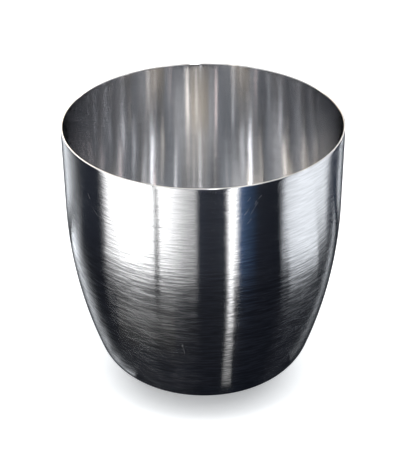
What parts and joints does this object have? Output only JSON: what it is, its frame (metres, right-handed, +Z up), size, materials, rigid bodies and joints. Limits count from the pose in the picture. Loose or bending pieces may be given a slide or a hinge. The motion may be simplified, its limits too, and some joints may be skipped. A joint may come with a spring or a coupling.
{
  "type": "deep drawn metal cup",
  "caption": "Handleless cup drawn from brushed steel sheet, with a flat round base, a rounded corner, a swelling lower wall, a nearly upright upper wall and a plain trimmed lip.",
  "frame": {"origin": "middle of the flat base, on the surface that the cup stands on", "axes": "+Z up along the cup's axis, out of its mouth; the cup is round, so +X and +Y are any two level directions at right angles"},
  "size_m": [0.085, 0.085, 0.082],
  "materials": {
    "brushed_sheet": "fine hairline brushing around the axis over a bright rolled surface, lip polished"
  },
  "bodies": {
    "root": {"cup": "brushed_sheet"}
  },
  "joints": []
}
